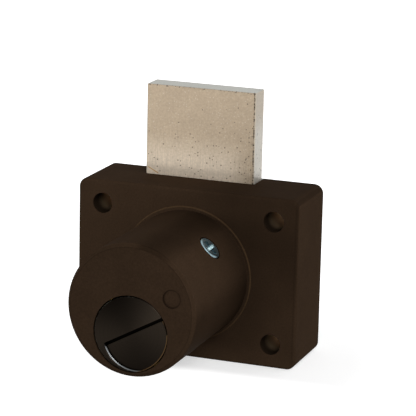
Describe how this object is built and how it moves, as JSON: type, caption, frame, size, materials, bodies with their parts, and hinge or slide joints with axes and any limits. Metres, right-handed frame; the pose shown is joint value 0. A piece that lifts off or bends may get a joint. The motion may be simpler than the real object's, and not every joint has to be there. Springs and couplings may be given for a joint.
{
  "type": "drawer lock",
  "caption": "Drawer deadbolt lock: a round boss with a slotted plug; a quarter turn cranks a flat square bolt in and out of the top of a screw-on case.",
  "frame": {"origin": "on the boss axis in the front face of the case, at the centre of the four mounting holes", "axes": "+Z the way the bolt is thrown, -Y out of the boss face towards the user, +X to the right seen from the front; rest is bolt thrown (locked)"},
  "size_m": [0.0624, 0.0588, 0.0711],
  "materials": {
    "bronze_coat": "dark bronze powder coat, fine texture",
    "zinc_cast": "bare zinc die casting",
    "plated_sheet": "zinc-plated steel sheet",
    "nickel_bolt": "brushed nickel-plated bar, warm tone",
    "black_plug": "turned face, blackened",
    "brass": "turned brass",
    "spring_steel": "hardened spring steel",
    "bright_zinc": "bright zinc-plated steel, bluish",
    "bearing_bronze": "sintered bronze"
  },
  "bodies": {
    "case": {"housing": "bronze_coat", "back_cover": "plated_sheet", "cover_screws": "bright_zinc", "bolt_spring": "spring_steel", "stop_pins": "spring_steel", "cylinder_shell": "brass", "detent_ball": "bright_zinc", "detent_spring": "spring_steel", "spindle_bush": "bearing_bronze", "thrust_washer": "bearing_bronze", "disc_spring": "spring_steel", "side_screw": "bright_zinc"},
    "cylinder": {"slotted_plug": "black_plug", "plug_clip": "spring_steel", "tailpiece": "plated_sheet", "tailpiece_pin": "spring_steel", "drive_crank": "zinc_cast", "crank_pin": "spring_steel", "spindle_ring": "spring_steel"},
    "dead_bolt": {"bolt": "nickel_bolt"}
  },
  "joints": [
    {"name": "plug_turn", "type": "hinge", "parent": "case", "child": "cylinder", "pos_m": [0, 0, -0.00615], "axis": [0, 1, 0], "range_deg": [0, 90]},
    {"name": "bolt_slide", "type": "slide", "parent": "case", "child": "dead_bolt", "axis": [0, 0, 1], "range_m": [-0.0238, 0]}
  ],
  "couplings": [
    {"joint": "plug_turn", "follows": "bolt_slide", "rad_per_m": -66}
  ]
}
